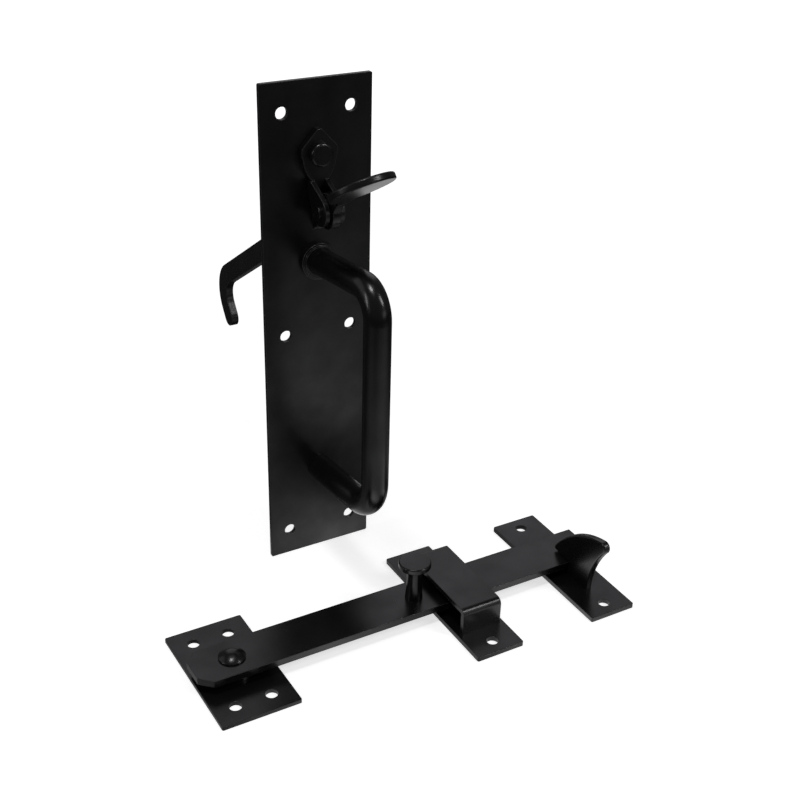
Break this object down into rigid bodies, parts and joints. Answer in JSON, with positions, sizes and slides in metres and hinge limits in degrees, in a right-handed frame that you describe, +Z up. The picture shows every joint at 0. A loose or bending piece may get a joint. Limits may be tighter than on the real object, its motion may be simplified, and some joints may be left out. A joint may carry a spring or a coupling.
{
  "type": "suffolk latch",
  "caption": "Thumb latch set: upright plate with D-shaped pull handle and thumb lever, and a pivoting flat bar with knob, keeper strap and ramped catch hook.",
  "frame": {"origin": "middle of the handle plate's back face, which lies against the gate", "axes": "+Z up along the handle plate, -Y towards the hand on the handle side, +X from the bar's pivot towards the catch"},
  "size_m": [0.224, 0.251, 0.254],
  "materials": {
    "black_coating": "satin"
  },
  "bodies": {
    "fixed": {"handle_plate": "black_coating", "pull_handle": "black_coating", "handle_collar": "black_coating", "lever_bracket": "black_coating", "bracket_rivet": "black_coating", "lever_pin": "black_coating", "pivot_plate": "black_coating", "pivot_spacer": "black_coating", "pivot_rivet": "black_coating", "keeper_plate": "black_coating", "keeper_strap": "black_coating", "catch_plate": "black_coating", "catch_hook": "black_coating"},
    "thumb_lever": {"lever_bar": "black_coating", "thumb_disc": "black_coating"},
    "swing_bar": {"latch_bar": "black_coating", "bar_knob": "black_coating"}
  },
  "joints": [
    {"name": "lever_pivot", "type": "hinge", "parent": "fixed", "child": "thumb_lever", "pos_m": [0, -0.014, 0.068], "axis": [1, 0, 0], "range_deg": [0, 14]},
    {"name": "bar_pivot", "type": "hinge", "parent": "fixed", "child": "swing_bar", "pos_m": [-0.0845, -0.0795, -0.1188], "axis": [0, 0, 1], "range_deg": [0, 4.15]}
  ]
}
